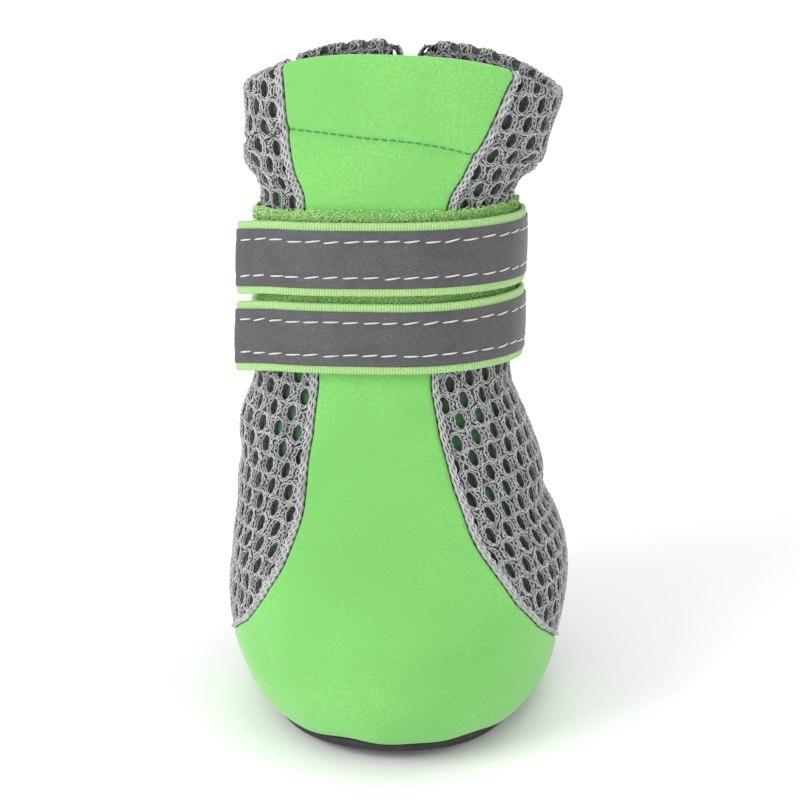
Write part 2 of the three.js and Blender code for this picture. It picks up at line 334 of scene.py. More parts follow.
def tube_parts(paths, radius, sides, closed=False, flat=1.0):
    """Tubes in a flat space of (along, across, height): paths is (tubes, steps, 3)."""
    count, steps, _ = paths.shape
    tangent = np.roll(paths, -1, 1) - np.roll(paths, 1, 1) if closed else np.gradient(paths, axis=1)
    tangent /= np.maximum(lengths(tangent)[..., None], 1e-9)
    side = np.cross(tangent, np.array([0.0, 0.0, 1.0]))
    length = lengths(side)[..., None]
    side = np.where(length > 0.05, side / np.maximum(length, 1e-9), np.array([1.0, 0, 0]))
    up = np.cross(side, tangent)
    radius = np.broadcast_to(radius, (count, steps))[..., None]
    offsets = [math.cos(phase) * side + flat * math.sin(phase) * up for phase in whole_turn(sides)]
    points = np.stack([paths + radius * offset for offset in offsets], 2)
    one = grid_faces(steps + 1 if closed else steps, sides, wrap=True, flip=True)
    if closed:
        one = np.where(one >= steps * sides, one - steps * sides, one)
    return points.reshape(count, -1, 3), copied_faces(one, count, steps * sides)


# ---- materials
NOISE, CELLS, WAVES = "Noise", "Voronoi", "Wave"


def painted(name, color, roughness, colors=(), bumps=(), painted_shade=None, uv=False, **settings):
    """A Principled material by patterns of (kind, scale, detail), at scales in repeats per metre, or
    per millimetre on UVs: colours mixed in as the pattern runs from low to high, and bumps of so
    many millimetres and such a strength. A colour given with a point is mixed in near it, by its
    distance, as painted shade."""
    material = bpy.data.materials.new(name)
    material.use_nodes = True
    tree = material.node_tree
    bsdf = tree.nodes["Principled BSDF"]
    base, normal = bsdf.inputs["Base Color"], bsdf.inputs["Normal"]
    base.default_value = (*color, 1)
    bsdf.inputs["Roughness"].default_value = roughness
    for key, value in settings.items():
        bsdf.inputs[key.replace("_", " ")].default_value = value
    made = {}

    def add(kind, inputs, **attributes):
        """A new node, its inputs given values or linked to outputs."""
        node = tree.nodes.new(f"ShaderNode{kind}")
        for key, value in attributes.items():
            setattr(node, key, value)
        for key, value in inputs.items():
            if isinstance(value, bpy.types.NodeSocket):
                tree.links.new(value, node.inputs[key])
            else:
                node.inputs[key].default_value = value
        return node.outputs

    def pattern(*key):
        if key not in made:
            kind, scale, detail = key
            setting = "Randomness" if kind == CELLS else "Detail"
            made[key] = add(f"Tex{kind}", {"Vector": where, "Scale": scale, setting: detail})[0]
        return made[key]

    def blend(factor, low, high, mixed):
        share = add("MapRange", {"Value": factor, "From Min": low, "From Max": high})["Result"]
        under = base.links[0].from_socket if base.is_linked else base.default_value
        tree.links.new(add("Mix", {0: share, 6: under, 7: (*mixed, 1)}, data_type="RGBA")[2], base)

    where = add("UVMap", {})["UV"] if uv else add("TexCoord", {})["Object"]
    # painted shade: a darker colour mixed in near a point
    if painted_shade:
        far = add("VectorMath", {0: where, 1: painted_shade[0]}, operation="DISTANCE")["Value"]
        blend(far, *painted_shade[1:])
    for *key, low, high, mixed in colors:
        blend(pattern(*key), low, high, mixed)
    for *key, distance, strength in bumps:
        under = {"Normal": normal.links[0].from_socket} if normal.is_linked else {}
        height = {"Height": pattern(*key), "Distance": distance * MM, "Strength": strength}
        tree.links.new(add("Bump", {**height, **under})["Normal"], normal)
    return material


def knit(name, color, shade):
    """Dense grey knit, for hem, facing and lining."""
    colors = ((CELLS, 1500, 0.8, 0.25, 0.75, shade), (NOISE, 300, 2, 0.45, 0.75, shade))
    return painted(name, color, 0.92, colors, [(CELLS, 1500, 0.8, 0.2, 0.8)], Sheen_Weight=0.1)


def thread(name, color):
    return painted(name, color, 0.6, bumps=[(NOISE, 3000, 1, 0.05, 0.6)])


SHADED_INSTEP = (-0.005, -0.026, 0.039)  # where painted shade darkens the panel, standing in for the shade of the instep's soft trough
YARN_SHADE = (0.28, 0.283, 0.288)

# Fine bright green knit on thin foam.
GREEN = painted(
    "foam_fabric", (0.21, 0.6, 0.137), 0.85,
    [(NOISE, 2600, 2, 0.35, 0.72, (0.148, 0.47, 0.094)), (NOISE, 38, 2, 0.42, 0.72, (0.155, 0.485, 0.102))],
    [(NOISE, 2600, 2, 0.06, 0.6), (NOISE, 260, 2, 0.12, 0.35)],
    # the panel is painted darker round the instep, as painted shade
    painted_shade=(SHADED_INSTEP, 0.028, 0.003, (0.165, 0.505, 0.108)), Sheen_Weight=0.3, Sheen_Roughness=0.5,
)
YARN = painted(
    "spacer_yarn", (0.55, 0.55, 0.555), 0.72,
    [(NOISE, 3200, 2, 0.4, 0.75, YARN_SHADE), (NOISE, 420, 2, 0.5, 0.75, YARN_SHADE)],
    [(NOISE, 3200, 2, 0.12, 0.8)], Sheen_Weight=0.15,
)
# The mesh's ground: grey knit, its darker grey is painted shade between the yarns.
NET_PAINTED_SHADE = knit("spacer_net_painted_shade", (0.15, 0.152, 0.155), (0.06, 0.062, 0.064))
HEM = knit("hem_knit", (0.4, 0.405, 0.405), (0.2, 0.205, 0.205))
LINING = knit("lining_knit", (0.11, 0.112, 0.114), (0.05, 0.052, 0.054))
# What shows through the mesh's holes: a dark sheet, its darkness painted shade inside the holes, with the
# panel's green behind it.
BACKING_PAINTED_SHADE = painted(
    "mesh_backing_painted_shade", (0.075, 0.08, 0.078), 0.95,
    [(NOISE, 95, 1, 0.5, 0.6, (0.06, 0.24, 0.08)), (NOISE, 2400, 3, 0.5, 0.8, (0.13, 0.14, 0.135))],
    [(NOISE, 2400, 3, 0.15, 0.8)],
)
# Grey strip with fine glass beads: their grain is bumped, and their glints are painted as lighter speckles.
STRIP = painted(
    "reflective_strip", (0.072, 0.072, 0.075), 0.5,
    [(NOISE, 3600, 1, 0.52, 0.78, (0.14, 0.14, 0.145)), (NOISE, 240, 3, 0.5, 0.8, (0.061, 0.061, 0.064))],
    [(NOISE, 3600, 1, 0.03, 0.5), (NOISE, 180, 2, 0.25, 0.3)], Metallic=0.2,
)
# Green tape with fine ribs across its selvage.
TAPE = painted(
    "woven_tape", (0.39, 0.62, 0.25), 0.85,
    [(WAVES, 0.55, 2, 0.1, 0.7, (0.27, 0.5, 0.16)), (NOISE, 2.4, 2, 0.5, 0.75, (0.46, 0.68, 0.32))],
    [(WAVES, 0.55, 2, 0.12, 0.8)], uv=True, Sheen_Weight=0.2,
)
PILE = painted(
    "pile", (0.5, 0.9, 0.3), 0.95,
    [(NOISE, 520, 2, 0.45, 0.7, (0.68, 0.95, 0.45)), (NOISE, 1500, 1, 0.6, 0.8, (0.36, 0.74, 0.2))],
    Sheen_Weight=0.3,
)
WHITE_THREAD = thread("white_thread", (0.64, 0.64, 0.63))
HEM_THREAD = thread("hem_thread", (0.05, 0.24, 0.07))
RUBBER = painted(
    "sole_rubber", (0.02, 0.019, 0.018), 0.62,
    [(NOISE, 350, 3, 0.5, 0.75, (0.035, 0.033, 0.031))], [(NOISE, 1800, 2, 0.05, 0.5)],
)

# ---- the soft surface as cloth
RIM_ROLL = 1.05  # the radius of the fold round the collar's edge
COLLAR_PLACE = 9.4  # millimetres of shaft to a place, near the rim
SOLE_PLACE = 4.1  # millimetres of side to a place, near the sole
BELOW_SOLE_PLACE = 4
SEAM_TUCK = 1.15  # how far the mesh sinks at the panel's seam, the sole and the slit
SOLE_TUCK = 0.9
SLIT_TUCK = 1.0
SLIT_FOOT_PLACE = 14.25
SLIT_HALF_FOOT = 0.7
SLIT_HALF_NECK = 1.5  # just below the rounded corners at the rim
SLIT_HALF_TOP = 3.3
SLIT_CORNER = 0.34  # the corners' height in places
HEM_PLACE = 14.58


def below_rim(place, over):
    """The place of cloth that has run over the rim's fold and down inside."""
    return place - np.maximum(over - math.pi * RIM_ROLL, 0) / COLLAR_PLACE


def cloth(place, angle, height, over=0.0):
    """A point that far above the cloth. over is how far the cloth has run past the rim: first
    round the collar's fold and then down inside."""
    over = np.asarray(over, float)
    place = below_rim(place, over)
    place, angle, height, over = np.broadcast_arrays(place, angle, np.asarray(height, float), over)
    phi = np.clip(over / RIM_ROLL, 0, math.pi)[..., None]
    normal = form_normal(place, angle)
    up = unit(way_up(place, angle))
    base = form_point(place, angle) + normal * creases(place, angle)[..., None] + SHIFT
    outwards = normal * np.cos(phi) + up * np.sin(phi)
    return base - RIM_ROLL * normal + (RIM_ROLL + height[..., None]) * outwards


def hem_place(turn):
    return HEM_PLACE - 0.008 * np.clip(turn, -34, 34)


def hem_pinch(place, angle):
    return PINCH_DEPTH * np.exp(-(((place - hem_place(turn_from_front(angle))) / 0.09) ** 2))


def arc_of(line):
    """How far each point lies along its line."""
    return np.concatenate([[0], np.cumsum(lengths(np.diff(line, axis=0)))])


def ring_speed(place, angle):
    """Millimetres of ring to a radian."""
    step = 0.01
    return lengths(form_point(place, angle + step) - form_point(place, angle - step)) / (2 * step)


def slit_half(place):
    """Half the gap at the back line: nothing below the slit's foot."""
    share = np.clip((place - SLIT_FOOT_PLACE) / (LAST - SLIT_FOOT_PLACE), 0, 1)
    corner = np.clip(1 - (LAST - place) / SLIT_CORNER, 0, 1)
    half = SLIT_HALF_FOOT + (SLIT_HALF_NECK - SLIT_HALF_FOOT) * share
    half = half + (SLIT_HALF_TOP - SLIT_HALF_NECK) * corner**1.6
    return np.where(place > SLIT_FOOT_PLACE, half, 0.0)


RELAX_ROUNDS = 1500
RELAX_STEP = 0.14


def relaxed_flat(points, flat):
    """Moves a grid's flat places until its neighbours are as far apart as on the surface."""
    whole, early, late = slice(None), slice(None, -1), slice(1, None)
    pairs = (
        ((whole, early), (whole, late)),
        ((early, whole), (late, whole)),
        ((early, early), (late, late)),
        ((early, late), (late, early)),
    )
    for _ in range(RELAX_ROUNDS):
        move = np.zeros(flat.shape)
        for one, other in pairs:
            rest = lengths(points[other] - points[one])
            gap = flat[other] - flat[one]
            push = gap * ((lengths(gap) - rest) / lengths(gap))[..., None]
            move[one] += push
            move[other] -= push
        flat = flat + RELAX_STEP * move
    return flat


class Side:
    """Flat cloth coordinates (u, v) over one side of the upper, in millimetres, as the cloth was cut:
    v runs up the side and u towards the front. sign is 1 on the +X side and -1 on the other."""

    ROWS, COLUMNS, MIDDLE = 37, 25, 15

    def __init__(self, sign):
        self.sign = sign
        self.places = np.linspace(-0.4, LAST + 1.6, self.ROWS)
        self.sweeps = np.linspace(-0.05, 0.95, self.COLUMNS) * math.pi
        place = np.clip(self.places, 0, LAST)[:, None]
        angle = self.angle(self.sweeps[None])
        points = form_point(place, angle)
        upwards = unit(form_point(LAST, angle) - form_point(LAST - 0.05, angle))
        points = points + upwards * (np.maximum(self.places - LAST, 0) * COLLAR_PLACE)[:, None, None]
        points[..., 2] += np.minimum(self.places, 0)[:, None] * BELOW_SOLE_PLACE
        middle = slice(self.MIDDLE, self.MIDDLE + 1)
        u = np.array([arc_of(row) for row in points])
        v = arc_of(points[:, self.MIDDLE])[:, None] + 0.8 * (points[..., 2] - points[:, middle, 2])
        u -= u[:, middle]
        self.flat = relaxed_flat(points, np.stack([u, v], -1))
        self.flat -= self.flat.reshape(-1, 2).min(0)
        self.size = self.flat.reshape(-1, 2).max(0)
        whole = [np.arange(int(size) + 2) for size in self.size]
        self.inverse = self.found(np.stack(np.meshgrid(*whole, indexing="ij"), -1))

    def angle(self, sweep):
        return math.pi / 2 - self.sign * sweep

    def found(self, wanted):
        """The grid's (row, column) under flat places, by Newton's way from the nearest corner."""
        flat = self.flat.reshape(-1, 2)
        target = wanted.reshape(-1, 2).astype(float)
        nearest = np.array([np.argmin(((flat - t) ** 2).sum(1)) for t in target])
        at = np.stack([nearest // self.COLUMNS, nearest % self.COLUMNS], -1).astype(float)
        for _ in range(8):
            i = np.clip(at[:, 0].astype(int), 0, self.ROWS - 2)
            j = np.clip(at[:, 1].astype(int), 0, self.COLUMNS - 2)
            s, t = (at[:, 0] - i)[:, None], (at[:, 1] - j)[:, None]
            a, b = self.flat[i, j], self.flat[i, j + 1]
            c, d = self.flat[i + 1, j], self.flat[i + 1, j + 1]
            miss = target - (a * (1 - s) * (1 - t) + b * (1 - s) * t + c * s * (1 - t) + d * s * t)
            by_row = (c - a) * (1 - t) + (d - b) * t
            by_column = (b - a) * (1 - s) + (d - c) * s
            area = by_row[:, 0] * by_column[:, 1] - by_row[:, 1] * by_column[:, 0]
            row = (miss[:, 0] * by_column[:, 1] - miss[:, 1] * by_column[:, 0]) / area
            column = (by_row[:, 0] * miss[:, 1] - by_row[:, 1] * miss[:, 0]) / area
            at += np.clip(np.stack([row, column], -1), -2, 2)
        return at.reshape(*wanted.shape[:-1], 2)

    def lookup(self, u, v):
        """The place, running on past the rim, and the sweep from the back line."""
        last_u, last_v = self.inverse.shape[0] - 1.001, self.inverse.shape[1] - 1.001
        column, row = np.clip(u, 0, last_u), np.clip(v, 0, last_v)
        i, j = column.astype(int), row.astype(int)
        s, t = (column - i)[..., None], (row - j)[..., None]
        near = self.inverse[i, j] * (1 - t) + self.inverse[i, j + 1] * t
        far = self.inverse[i + 1, j] * (1 - t) + self.inverse[i + 1, j + 1] * t
        at = near * (1 - s) + far * s
        place = self.places[0] + at[..., 0] * (self.places[1] - self.places[0])
        sweep = self.sweeps[0] + at[..., 1] * (self.sweeps[1] - self.sweeps[0])
        return place, sweep

    def seam_sweep(self, place):
        left, right = panel_edges(np.clip(place, 0, LAST))
        return math.pi / 2 - right if self.sign > 0 else left + 1.5 * math.pi

    def point(self, place, sweep, height):
        """Points on the side, tucked in at its seams. Places past the last run over the rim."""
        over = np.maximum(place - LAST, 0) * COLLAR_PLACE
        flat = below_rim(np.clip(place, 0, LAST), over)
        speed = ring_speed(flat, self.angle(sweep))
        to_seam = (self.seam_sweep(flat) - sweep) * speed
        to_back = sweep * speed - slit_half(flat)
        height = height - SEAM_TUCK * (1 - smooth(to_seam, -0.2, 1.1))
        height = height - SOLE_TUCK * (1 - smooth(place * SOLE_PLACE, 0.0, 1.0))
        height = height - SLIT_TUCK * (1 - smooth(to_back, -0.1, 0.9)) * (slit_half(flat) > 0)
        sweep = np.clip(sweep, slit_half(flat) / speed, self.seam_sweep(flat) + 0.15 / speed)
        angle = self.angle(sweep)
        return cloth(np.clip(place, 0, LAST), angle, height - hem_pinch(flat, angle), over)

    def world(self, points):
        """Points of the row's frame from (u, v, height)."""
        place, sweep = self.lookup(points[..., 0], points[..., 1])
        return self.point(place, sweep, points[..., 2])


SIDES = {"right": Side(1), "left": Side(-1)}

# ---- spacer mesh
CELL_WIDTH = 4.5
ROW_HEIGHT = 3.85
HOLE_HALF_WIDTH = 1.06
HOLE_HALF_HEIGHT = 1.78
CELL_STEPS = 20
YARN_RADIUS = 0.17
COVERED = (9.55, 12.7)  # places that the straps hide
CELL_REACH = 2.1  # how far past an edge of the mesh a cell's middle may lie
MIDDLE_DRIFT = 0.08
HOLE_SPREAD = 0.05
# How far out from the hole to the cell's edge, and how high, the ground's four rings lie.
NET_LEVELS = ((0.0, -1.15), (0.02, -0.25), (0.4, 0.05), (1.06, -0.08))
# steps, near, far, zigzags, lift, ripple
YARN_LOOPS = (
    (16, 0.0, 0.16, 5, 0.1, 0.08),
    (18, 0.5, 0.86, 6, 0.2, 0.12),
    (27, 0.12, 1.05, 9, 0.24, 0.1),
)
# distance from the seam, radius, wobble
SEAM_YARNS = ((0.35, 0.26, 0.1), (0.85, 0.22, 0.14), (1.3, 0.2, 0.16))


def cell_outline(phi):
    """The distance from a cell's middle to its six-sided edge, and to its oval hole, by direction."""
    half = CELL_WIDTH / 2
    slant = np.array([half, ROW_HEIGHT])
    reach = np.dot(slant, slant) / 2
    cosine, sine = np.abs(np.cos(phi)), np.abs(np.sin(phi))
    edge = np.minimum(half / np.maximum(cosine, 1e-6), reach / (cosine * half + sine * ROW_HEIGHT))
    hole = 1 / np.sqrt((cosine / HOLE_HALF_WIDTH) ** 2 + (sine / HOLE_HALF_HEIGHT) ** 2)
    return edge, hole


def cell_middles(side):
    """Middles of the staggered holes on one side, and which of them the straps leave in sight."""
    rows, columns = np.arange(side.size[1] / ROW_HEIGHT), np.arange(side.size[0] / CELL_WIDTH + 1)
    j, i = np.meshgrid(rows, columns, indexing="ij")
    u = CELL_WIDTH * (i + 0.5 * (j % 2))
    v = ROW_HEIGHT * j
    place, sweep = side.lookup(u, v)
    speed = ring_speed(np.clip(place, 0, LAST), side.angle(sweep))
    inside = (side.seam_sweep(place) - sweep) * speed > -CELL_REACH
    inside &= sweep * speed > slit_half(np.minimum(place, LAST)) - CELL_REACH
    inside &= (place > -0.15) & ((place - LAST) * COLLAR_PLACE < math.pi * RIM_ROLL + HEM_DEPTH)
    middles = np.stack([u, v], -1)[inside]
    middles += RNG.normal(0, MIDDLE_DRIFT, middles.shape)
    seen = ((place < COVERED[0]) | (place > COVERED[1]))[inside]
    return middles, seen


def rings(middles, radius, phi, height):
    u = middles[:, :1] + radius * np.cos(phi)
    v = middles[:, 1:] + radius * np.sin(phi)
    return np.stack([u, v, np.broadcast_to(height, u.shape)], -1)


def net(name, side, middles):
    """The mesh's ground: a plate with an oval hole in every cell."""
    phi = whole_turn(CELL_STEPS)
    edge, hole = cell_outline(phi)
    swell = 1 + RNG.normal(0, HOLE_SPREAD, len(middles))[:, None]
    loops = []
    for share, height in NET_LEVELS:
        radius = hole * swell * (1 - share) + edge * share
        loops.append(rings(middles, radius, phi, height))
    points = np.stack(loops, 1)
    one = grid_faces(len(NET_LEVELS), CELL_STEPS, wrap=True, flip=True)
    faces = copied_faces(one, len(middles), len(NET_LEVELS) * CELL_STEPS)
    make_piece(name, [(side.world(points), faces[:, :: side.sign])], NET_PAINTED_SHADE)


def yarn_loop(middles, steps, near, far, zigzags, lift, ripple):
    """Closed yarn paths round the holes, weaving between the hole's edge and the cell's."""
    phi = whole_turn(steps)
    edge, hole = cell_outline(phi)
    phase = RNG.uniform(0, 2 * math.pi, (len(middles), 1))
    share = near + (far - near) * (0.5 + 0.5 * np.sin(zigzags * phi + phase))
    radius = hole * (1 - share) + edge * share
    height = lift + ripple * np.sin((zigzags + 1) * phi + 2 * phase)
    return rings(middles, radius, phi, height)


def spacer_mesh(label, side):
    middles, seen = cell_middles(side)
    net(f"mesh_net_{label}", side, middles)
    shown = middles[seen]
    parts = []
    for loop in YARN_LOOPS:
        points, faces = tube_parts(yarn_loop(shown, *loop), YARN_RADIUS, 3, closed=True, flat=0.8)
        parts.append((side.world(points), faces))
    make_piece(f"mesh_yarn_{label}", parts, YARN)


SEAM_RADIUS = 25  # the flat space that the seam's yarns are drawn in: millimetres to a radian
SEAM_PLACE = 9  # and to a place


def seam_yarns(label, side):
    """The mesh's gathered edge along the panel's seam, as ridges of yarn."""
    place = np.linspace(0.1, LAST + 0.3, 420)
    flat = np.minimum(place, LAST)
    edge = side.seam_sweep(flat)
    speed = ring_speed(flat, side.angle(edge))
    turns = np.arange(len(place)) * 1.15
    parts = []
    for offset, radius, wobble in SEAM_YARNS:
        sweep = edge - (offset + wobble * np.sin(turns + offset * 9)) / speed
        height = 0.95 - 0.3 * offset + 0.12 * np.cos(turns + offset * 9)
        height = height - 1.2 * (1 - smooth(place, 0.1, 1.2))
        paths = np.stack([sweep * SEAM_RADIUS, place * SEAM_PLACE, height], -1)[None]
        points, faces = tube_parts(paths, radius, 5, flat=0.9)
        points = points[0]
        along = points[:, 1] / SEAM_PLACE
        speeds, middle = np.repeat(speed, 5) / SEAM_RADIUS, np.repeat(sweep, 5)
        around = middle + (points[:, 0] / SEAM_RADIUS - middle) / speeds
        parts.append((side.point(along, around, points[:, 2]), faces))
    make_piece(f"mesh_seam_{label}", parts, YARN)


SHAFT_RADIUS = 24.0  # about the shaft's radius at the slit
SHELL_ROWS = 80
SHELL_COLUMNS = 110
SHELL_PINCH = 0.6  # of the hem's pinch


def shell(name, outer, inner, material, replaced=()):
    """A thin closed layer inside the upper, open along the slit at the back."""
    places = np.linspace(0.0, LAST - 0.03, SHELL_ROWS)[:, None]
    gap = np.where(places > SLIT_FOOT_PLACE, (slit_half(places) + 0.3) / SHAFT_RADIUS, 0.002)
    angle = math.pi / 2 + gap + (2 * math.pi - 2 * gap) * np.linspace(0, 1, SHELL_COLUMNS)
    form, normal, bend = form_point(places, angle), form_normal(places, angle), creases(places, angle)
    lifts = (outer - hem_pinch(places, angle) * SHELL_PINCH, inner)
    face, back = (form + normal * (bend + lift)[..., None] + SHIFT for lift in lifts)
    points = np.concatenate([face, back[:, ::-1]], 1)
    columns = points.shape[1]
    faces = list(grid_faces(SHELL_ROWS, columns, wrap=True))
    for row, order in ((0, 1), (SHELL_ROWS - 1, -1)):
        for j in range(SHELL_COLUMNS - 1):
            out, under = row * columns + j, (row + 1) * columns - 1 - j
            faces.append((out, under, under - 1, out + 1)[::order])
    make_piece(name, [(points, faces)], material, replaced)


# ---- front panel
PANEL_LIFT = 0.5
PANEL_EDGE = 1.25  # how far in from its seam the panel rounds down
PANEL_COLUMNS = 84
PANEL_ROWS = 250
PANEL_START = (0, 0.02, 0.05, 0.1, 0.16, 0.23)  # places next to the sole
PANEL_EDGE_STEPS = (0, 0.05, 0.15, 0.3, 0.5, 0.8)  # columns next to a seam, by distance
PANEL_FIRST = 1.15
PANEL_SEAM_DROP = 1.3
PANEL_SOLE_DROP = 0.9
PANEL_INSIDE = -0.2  # the lowest height inside the collar


def front_panel():
    """The foam fabric from toe to collar, its edges turned in at the seams and over the rim."""
    fold = math.pi * RIM_ROLL
    over = np.concatenate([np.linspace(0.15, fold, 12), fold + np.linspace(0.6, HEM_DEPTH, 12)])
    places = [PANEL_START, np.linspace(0.3, LAST, PANEL_ROWS), np.full(len(over), LAST)]
    places = np.concatenate(places)[:, None]
    over = np.concatenate([np.zeros(len(PANEL_START) + PANEL_ROWS), over])[:, None]
    left, right = panel_edges(places)
    line = form_point(places, left + (right - left) * np.linspace(0, 1, 60))
    width = lengths(np.diff(line, axis=1)).sum(1)[:, None]
    near = np.array([PANEL_EDGE_STEPS]) / width
    share = np.linspace(0, 1, PANEL_COLUMNS)
    middle = PANEL_FIRST / width * (1 - share) + (1 - PANEL_FIRST / width) * share
    across = np.concatenate([near, middle, 1 - near[:, ::-1]], 1)
    angle = left + (right - left) * across
    to_seam = np.minimum(across, 1 - across) * width
    to_sole = places * SOLE_PLACE + over

    def round_down(distance, depth):
        inward = np.clip(1 - distance / PANEL_EDGE, 0, 1)
        return depth * (1 - np.sqrt(1 - inward**2))

    height = PANEL_LIFT - round_down(to_seam, PANEL_SEAM_DROP) - round_down(to_sole, PANEL_SOLE_DROP)
    height -= hem_pinch(places, angle) * (over == 0)
    height = np.where(over > 0, np.maximum(height, PANEL_INSIDE), height)
    points = cloth(places, angle, height, over)
    make_piece("front_panel", [(points, grid_faces(*angle.shape))], GREEN)


def stitch_paths(along, across, length, slant, top, sink):
    """Short arched threads in a flat space of (along, across, height)."""
    t = np.linspace(-0.5, 0.5, 6)
    a = along[:, None] + t * length
    b = across[:, None] + t * slant
    h = np.broadcast_to(sink + (top - sink) * np.cos(t * math.pi) ** 0.6, a.shape)
    return np.stack([a, b, h], -1)


HEM_SPAN = (-36, 30)  # degrees from the front
HEM_PITCH = 1.7
HEM_STITCH = 1.2


def hem_stitches():
    """The thread line that holds the collar's hem, across the panel."""
    turns = np.linspace(*HEM_SPAN, 600)
    angle = TOWARDS_SHIN + np.radians(turns)
    place = hem_place(turns)
    line = form_point(place, angle)
    arc = arc_of(line)
    middles = np.arange(1.2, arc[-1] - 1, HEM_PITCH)
    paths = stitch_paths(middles, np.zeros(len(middles)), HEM_STITCH, 0.0, 0.16, -0.2)
    points, faces = tube_parts(paths, 0.11, 5)
    turn = np.interp(points[..., 0], arc, turns)
    at = hem_place(turn) - points[..., 1] / COLLAR_PLACE
    world = cloth(at, TOWARDS_SHIN + np.radians(turn), points[..., 2])
    make_piece("hem_stitches", [(world, faces)], HEM_THREAD)


# ---- straps
# Spans are in degrees round the shaft: -90 is the front, and 0 the +X side.
CLIMB = (-90, -5)  # where the bands rise
STRAP_SPAN = (-160, 68)
LOOP_SPAN = (-252, 80)
BARE_SPAN = (-154, 66)  # the loop bands' bare pile ends and starts again here
MEASURED_UP = 16.0  # a band is as long as its line this far up the shaft
FREE_DEGREES = 32  # from a strap's free end, where it stands off
STRAP_SPRING = 1.7  # how far it stands off, and droops
STRAP_DROOP = 0.8
# low edge, high edge, sway, rise
STRAPS = {"lower_strap": (2.5, 17.0, 0.15, 2.2), "upper_strap": (18.7, 33.8, -0.15, 1.2)}
# low edge, high edge, and the pile in sight past a strap's edge: from, to
LOOP_BANDS = {"lower_loop_band": (3.3, 18.7, 16.7, 18.7), "upper_loop_band": (19.1, 35.6, 33.4, 35.9)}
LOOP_RISE = 1.2
PILE_SPARSE = 2.6  # fibres to a square millimetre
PILE_DENSE = 10.0


class Band:
    """Flat tape coordinates round the shaft: along it from its start, up the shaft, and out."""

    def __init__(self, span, standoff, spring, droop, sway, rise):
        self.standoff, self.spring, self.droop, self.sway, self.rise = standoff, spring, droop, sway, rise
        self.degrees = np.linspace(*span, 900)
        line = ring_point(self.section(MEASURED_UP), np.radians(self.degrees), standoff)
        self.arc = arc_of(line)
        self.length = self.arc[-1]

    @staticmethod
    def section(distance):
        columns = shaft_section(distance / SHAFT_LENGTH, SHAFT_SECTIONS[1][1], 1.0, 0.0)
        return np.stack(np.broadcast_arrays(*columns), -1)

    def world(self, points):
        a, s, h = points[..., 0], points[..., 1], points[..., 2]
        degrees = np.interp(a, self.arc, self.degrees)
        free = np.clip(1 - (degrees - self.degrees[0]) / FREE_DEGREES, 0, 1)
        s = s + self.sway * np.sin(a / 19 + 1) - self.droop * free**1.5
        s = s + self.rise * smooth(degrees, *CLIMB)
        grow = self.standoff + h + self.spring * free**2 + 0.12 * np.sin(a / 7.3)
        return ring_point(self.section(s), np.radians(degrees), grow) + SHIFT


def rounded_section(low, high, bottom, top, radius, bulge, steps):
    """A closed tape section of (up the shaft, out) points, anticlockwise, with round edges."""
    half = (top - bottom) / 2
    middle = (top + bottom) / 2
    turn = np.linspace(-math.pi / 2, math.pi / 2, 9)
    upper_edge = np.stack([high - radius + radius * np.cos(turn), middle + half * np.sin(turn)], -1)
    lower_edge = np.stack([low + radius - radius * np.cos(turn), middle - half * np.sin(turn)], -1)
    across = np.linspace(high - radius, low + radius, steps)[1:-1]
    crown = bulge * np.cos((across - (low + high) / 2) / (high - low) * math.pi)
    face = np.stack([across, top + crown], -1)
    back = np.stack([across[::-1], np.full(len(across), bottom)], -1)
    return np.concatenate([upper_edge, face, lower_edge, back])


def tape_body(name, band, section, step, material, replaced=(), dent=None, first=0.0):
    """A tape of one section along a band, with UVs in millimetres along and across it."""
    along = np.linspace(first, band.length, int((band.length - first) / step) + 1)
    flat = np.empty((len(along), len(section), 3))
    flat[..., 0] = along[:, None]
    flat[..., 1:] = section
    if dent is not None:
        flat[..., 2] -= dent(flat[..., 0], flat[..., 1]) * (flat[..., 2] > section[:, 1].mean())
    faces = capped_faces(len(along), len(section))
    mesh = make_piece(name, [(band.world(flat), faces)], material, replaced, smooth_ends=False)
    corners = np.empty(len(mesh.loops), int)
    mesh.loops.foreach_get("vertex_index", corners)
    layer = mesh.uv_layers.new(name="millimetres")
    layer.data.foreach_set("uv", flat.reshape(-1, 3)[corners][:, :2].ravel())


STRIP_INSET = 1.6
STITCH_INSET = 2.25
STITCH_START = 1.2
STITCH_PITCH = 3.8
STITCH_LENGTH = 3.35
STITCH_SLANT = 0.35


